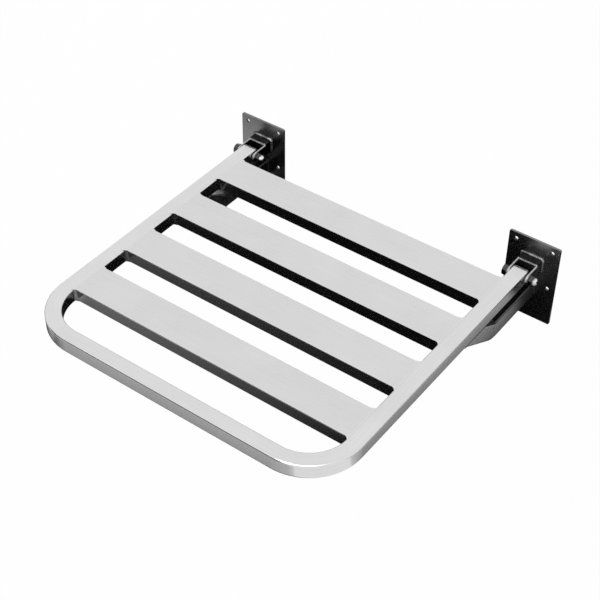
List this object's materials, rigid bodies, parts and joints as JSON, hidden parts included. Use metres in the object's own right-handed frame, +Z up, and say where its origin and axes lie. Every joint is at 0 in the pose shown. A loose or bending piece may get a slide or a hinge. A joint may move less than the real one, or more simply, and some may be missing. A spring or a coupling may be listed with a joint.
{
  "type": "fold down wall seat",
  "caption": "Wall-mounted fold-down seat: slatted tubular steel frame hinged between bracket ears on drilled wall plates and held level by support arms under the rails.",
  "frame": {"origin": "on the wall plane, at the centre of the rectangle made by the outer holes of the wall plates", "axes": "+Y into the wall, +X along the hinge line, +Z up; the seat stands out along -Y"},
  "size_m": [0.484, 0.453, 0.12],
  "materials": {
    "seat_steel": "satin polished stainless steel with a fine brushed grain",
    "plate_steel": "mirror polished, dark",
    "bracket_steel": "mirror polished, dark, with bright sanded edges",
    "weld_steel": "rippled weld bead, wire brushed",
    "fastener_steel": "bright polished",
    "nylon": "black filled nylon",
    "black_plastic": "black moulded plastic"
  },
  "bodies": {
    "wall_mount": {"wall_plate_left": "plate_steel", "hinge_bracket_left": "bracket_steel", "bracket_weld_left": "weld_steel", "pivot_bolt_left": "fastener_steel", "dome_nut_left": "fastener_steel", "head_washer_left": "fastener_steel", "nut_washer_left": "fastener_steel", "thrust_washer_inner_left": "nylon", "thrust_washer_outer_left": "nylon", "wall_plate_right": "plate_steel", "hinge_bracket_right": "bracket_steel", "bracket_weld_right": "weld_steel", "pivot_bolt_right": "fastener_steel", "dome_nut_right": "fastener_steel", "head_washer_right": "fastener_steel", "nut_washer_right": "fastener_steel", "thrust_washer_inner_right": "nylon", "thrust_washer_outer_right": "nylon"},
    "seat": {"seat_frame": "seat_steel", "slat_1": "seat_steel", "slat_2": "seat_steel", "slat_3": "seat_steel", "slat_4": "seat_steel", "slat_welds_left": "seat_steel", "rail_end_left": "seat_steel", "pivot_bush_left": "nylon", "support_arm_left": "seat_steel", "arm_pad_left": "black_plastic", "slat_welds_right": "seat_steel", "rail_end_right": "seat_steel", "pivot_bush_right": "nylon", "support_arm_right": "seat_steel", "arm_pad_right": "black_plastic"}
  },
  "joints": [
    {"name": "seat_fold", "type": "hinge", "parent": "wall_mount", "child": "seat", "pos_m": [0, -0.0345, 0.003], "axis": [-1, 0, 0], "range_deg": [0, 93]}
  ]
}
